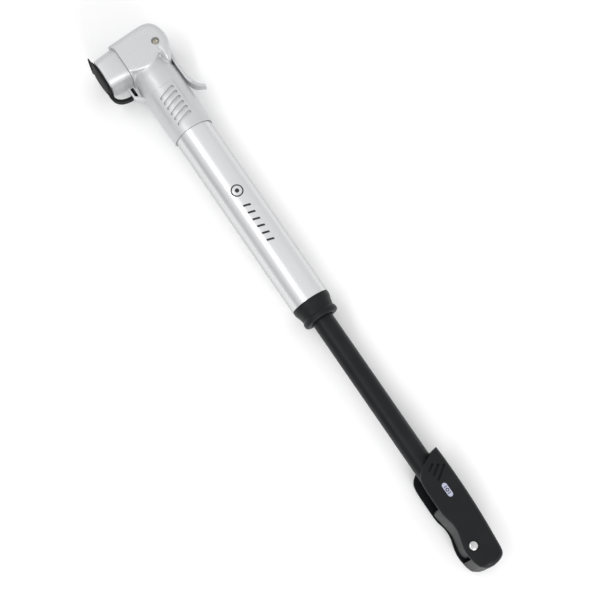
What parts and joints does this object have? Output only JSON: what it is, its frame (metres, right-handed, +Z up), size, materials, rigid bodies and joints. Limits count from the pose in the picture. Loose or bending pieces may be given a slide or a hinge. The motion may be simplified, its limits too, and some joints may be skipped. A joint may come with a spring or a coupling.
{
  "type": "mini pump",
  "caption": "Hand air pump for bicycle tyres: side nozzle with thumb lock lever, metal barrel, sliding rod and a folding handle.",
  "frame": {"origin": "on the barrel axis, where the barrel leaves the sleeve of the head and the zone for a frame clip starts", "axes": "+X along the barrel from the head to the handle, -Y out of the nozzle, +Z up as the pump lies on its side"},
  "size_m": [0.3476, 0.0482, 0.0264],
  "materials": {
    "silver_paint": "silver painted plastic, satin",
    "aluminium": "drawn, bright satin",
    "black_plastic": "moulded, satin black",
    "grey_black_plastic": "moulded, dark grey",
    "steel": "zinc plated",
    "rubber": "matt moulded rubber",
    "white_plastic": "natural acetal",
    "brass": "turned"
  },
  "bodies": {
    "barrel": {"head_body": "silver_paint", "nozzle_cap": "silver_paint", "valve_gland": "rubber", "lever_pin": "steel", "barrel_seal": "rubber", "check_seat": "white_plastic", "barrel_tube": "aluminium", "barrel_collar": "black_plastic", "guide_bush": "white_plastic", "wiper_ring": "rubber", "end_bumper": "rubber", "dust_cap_strap": "rubber"},
    "plunger": {"gland_plunger": "white_plastic", "gland_washer": "white_plastic", "stem_seal": "rubber", "core_depressor": "brass"},
    "lever": {"thumb_lever": "silver_paint"},
    "check_valve": {"check_disc": "rubber", "check_spring": "steel"},
    "dust_cap": {"dust_cap": "rubber"},
    "piston": {"piston_head": "white_plastic", "piston_seal": "rubber"},
    "rod": {"rod_tube": "black_plastic", "rod_plug": "aluminium", "piston_screw": "steel", "rod_knuckle": "grey_black_plastic", "cross_pin": "steel", "detent_ball": "steel", "detent_spring": "steel"},
    "handle": {"handle_shell": "black_plastic", "fold_rivet": "steel"}
  },
  "joints": [
    {"name": "lever_pivot", "type": "hinge", "parent": "barrel", "child": "lever", "pos_m": [-0.0517, 0.0097, 0], "axis": [0, 0, 1], "range_deg": [0, 90]},
    {"name": "plunger_slide", "type": "slide", "parent": "barrel", "child": "plunger", "axis": [0, -1, 0], "range_m": [0, 0.0016], "deforming": ["valve_gland"]},
    {"name": "check_valve_lift", "type": "slide", "parent": "barrel", "child": "check_valve", "axis": [-1, 0, 0], "range_m": [0, 0.0009], "stiffness_N_per_m": 20, "springref_m": -0.0005, "deforming": ["check_spring"]},
    {"name": "dust_cap_hinge", "type": "hinge", "parent": "barrel", "child": "dust_cap", "pos_m": [-0.0392, -0.02515, 0], "axis": [0, 0, 1], "range_deg": [0, 110]},
    {"name": "pump_stroke", "type": "slide", "parent": "barrel", "child": "piston", "axis": [1, 0, 0], "range_m": [-0.0875, 0.0225]},
    {"name": "rod_spin", "type": "hinge", "parent": "piston", "child": "rod", "pos_m": [0.15, 0, 0], "axis": [1, 0, 0], "continuous": true},
    {"name": "handle_fold", "type": "hinge", "parent": "rod", "child": "handle", "pos_m": [0.2653, -0.00505, 0.00071], "axis": [0, -0.1392, -0.9903], "range_deg": [0, 90]}
  ],
  "couplings": [
    {"joint": "plunger_slide", "follows": "lever_pivot", "m_per_rad": 0.0010186}
  ]
}
